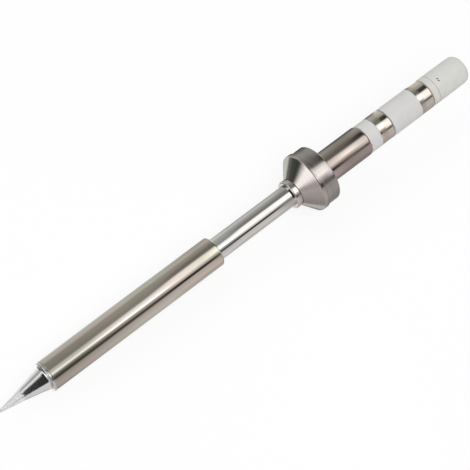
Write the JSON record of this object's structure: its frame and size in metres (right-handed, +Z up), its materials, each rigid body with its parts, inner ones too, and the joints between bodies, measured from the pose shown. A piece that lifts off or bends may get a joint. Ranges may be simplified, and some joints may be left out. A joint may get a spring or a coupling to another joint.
{
  "type": "soldering iron tip",
  "caption": "Plug-in soldering iron tip with a fine conical bit, a steel sleeve and neck, a coned collar, and a contact end with metal rings between white insulators.",
  "frame": {"origin": "middle of the collar's rear face, on the long axis, where the tip seats against its handle", "axes": "+X along the long axis from the point towards the contact end, +Z up as the tip lies on a bench, +Y across"},
  "size_m": [0.105, 0.0112, 0.0112],
  "materials": {
    "plated_bit": "plated and bright, tinned at the point",
    "sleeve_steel": "drawn and lightly polished",
    "neck_steel": "polished",
    "turned_steel": "turned, with fine tool marks",
    "barrel_steel": "drawn and satin",
    "contact_metal": "nickel plated",
    "white_plastic": "moulded, satin",
    "clear_plastic": "moulded, slightly translucent",
    "cap_plastic": "moulded, satin",
    "bush_steel": "turned",
    "alumina": "fired, unglazed",
    "mineral_packing": "pressed powder",
    "heating_wire": "oxidised wire",
    "weld_metal": "welded bead",
    "lead_metal": "drawn wire",
    "solder": "solder"
  },
  "bodies": {
    "root": {"tip_bit": "plated_bit", "front_sleeve": "sleeve_steel", "sleeve_packing": "mineral_packing", "sleeve_bush": "bush_steel", "neck_tube": "neck_steel", "collar": "turned_steel", "contact_barrel": "barrel_steel", "contact_carrier": "white_plastic", "front_contact_ring": "contact_metal", "middle_spacer": "white_plastic", "rear_contact_ring": "contact_metal", "rear_spacer": "clear_plastic", "end_cap": "cap_plastic", "heater_tube": "alumina", "heater_core": "alumina", "heater_winding": "heating_wire", "thermocouple_bead": "weld_metal", "lead_insulator": "alumina", "supply_lead": "lead_metal", "return_lead": "lead_metal", "front_ring_joint": "solder", "rear_ring_joint": "solder"}
  },
  "joints": []
}
